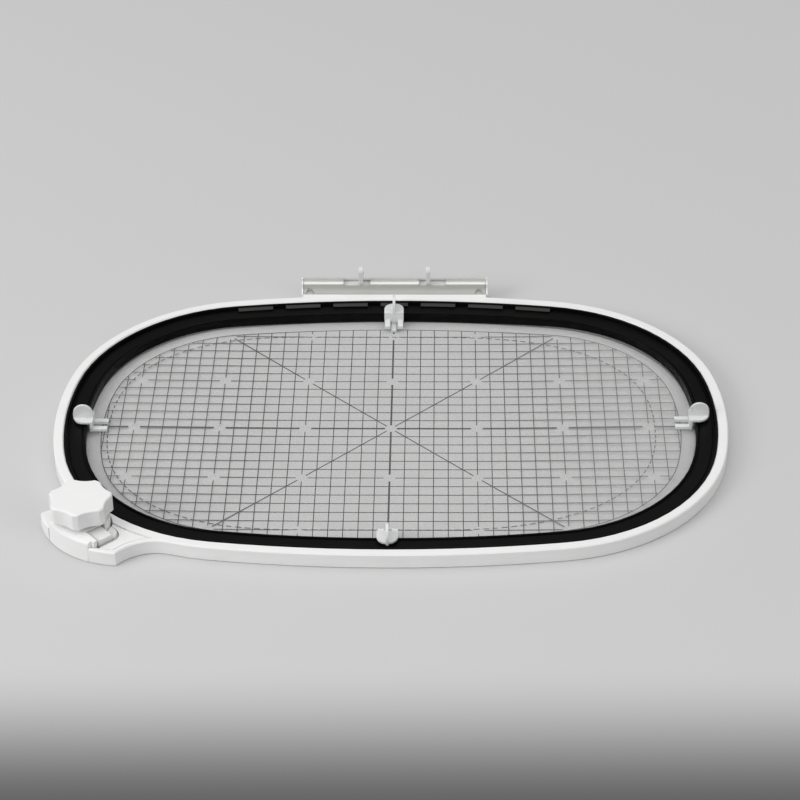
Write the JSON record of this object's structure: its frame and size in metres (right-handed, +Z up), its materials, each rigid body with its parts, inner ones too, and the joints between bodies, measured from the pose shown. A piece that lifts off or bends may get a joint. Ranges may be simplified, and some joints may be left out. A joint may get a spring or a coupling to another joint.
{
  "type": "machine embroidery hoop",
  "caption": "Oval machine embroidery hoop: split outer ring with a twist lock and an arm coupling, pressed-in inner ring, and a clear grid template held by clips.",
  "frame": {"origin": "centre of the bounding box's bottom, on the surface the hoop lies on", "axes": "+X along the oval's length, +Y from the oval's front side to the coupling rail, +Z up"},
  "size_m": [0.2974, 0.2164, 0.0207],
  "materials": {
    "white_plastic": "satin",
    "black_plastic": "satin",
    "dark_plastic": "matte",
    "clear_plastic": "translucent, polished",
    "template_sheet": "clear, printed with a thin dark grid",
    "rail_metal": "satin anodised",
    "steel": "plain"
  },
  "bodies": {
    "outer": {"outer_ring": "white_plastic", "lock_cover": "white_plastic", "cover_screw_1": "steel", "cover_screw_2": "steel", "coupling_rail": "rail_metal", "rail_cap_left": "white_plastic", "rail_cap_right": "white_plastic", "rail_screw_left": "steel", "rail_screw_right": "steel", "catch_spring_left": "steel", "catch_spring_right": "steel"},
    "knob": {"lock_knob": "white_plastic", "lock_spindle": "steel", "scroll_cam": "dark_plastic", "spindle_washer": "steel", "spindle_screw": "steel"},
    "link": {"lock_link": "white_plastic", "link_pin": "steel"},
    "left_catch": {"catch_left": "clear_plastic"},
    "right_catch": {"catch_right": "clear_plastic"},
    "inner": {"inner_ring": "black_plastic"},
    "sheet": {"template": "template_sheet", "clip_left": "clear_plastic", "clip_right": "clear_plastic", "clip_front": "clear_plastic", "clip_rear": "clear_plastic"}
  },
  "joints": [
    {"name": "knob_turn", "type": "hinge", "parent": "outer", "child": "knob", "pos_m": [-0.12802, -0.0866, 0.016], "axis": [0, 0, 1], "range_deg": [0, 180]},
    {"name": "link_slide", "type": "slide", "parent": "outer", "child": "link", "axis": [0.6691, -0.7431, 0], "range_m": [0, 0.001]},
    {"name": "left_catch_slide", "type": "slide", "parent": "outer", "child": "left_catch", "axis": [1, 0, 0], "range_m": [0, 0.003], "stiffness_N_per_m": 600, "springref_m": -0.002, "deforming": ["catch_spring_left"]},
    {"name": "right_catch_slide", "type": "slide", "parent": "outer", "child": "right_catch", "axis": [-1, 0, 0], "range_m": [0, 0.003], "stiffness_N_per_m": 600, "springref_m": -0.002, "deforming": ["catch_spring_right"]},
    {"name": "inner_ring_lift", "type": "slide", "parent": "outer", "child": "inner", "axis": [0, 0, 1], "range_m": [0, 0.04]},
    {"name": "template_lift", "type": "slide", "parent": "inner", "child": "sheet", "axis": [0, 0, 1], "range_m": [0, 0.03]}
  ],
  "couplings": [
    {"joint": "link_slide", "follows": "knob_turn", "m_per_rad": 0.00031831}
  ]
}
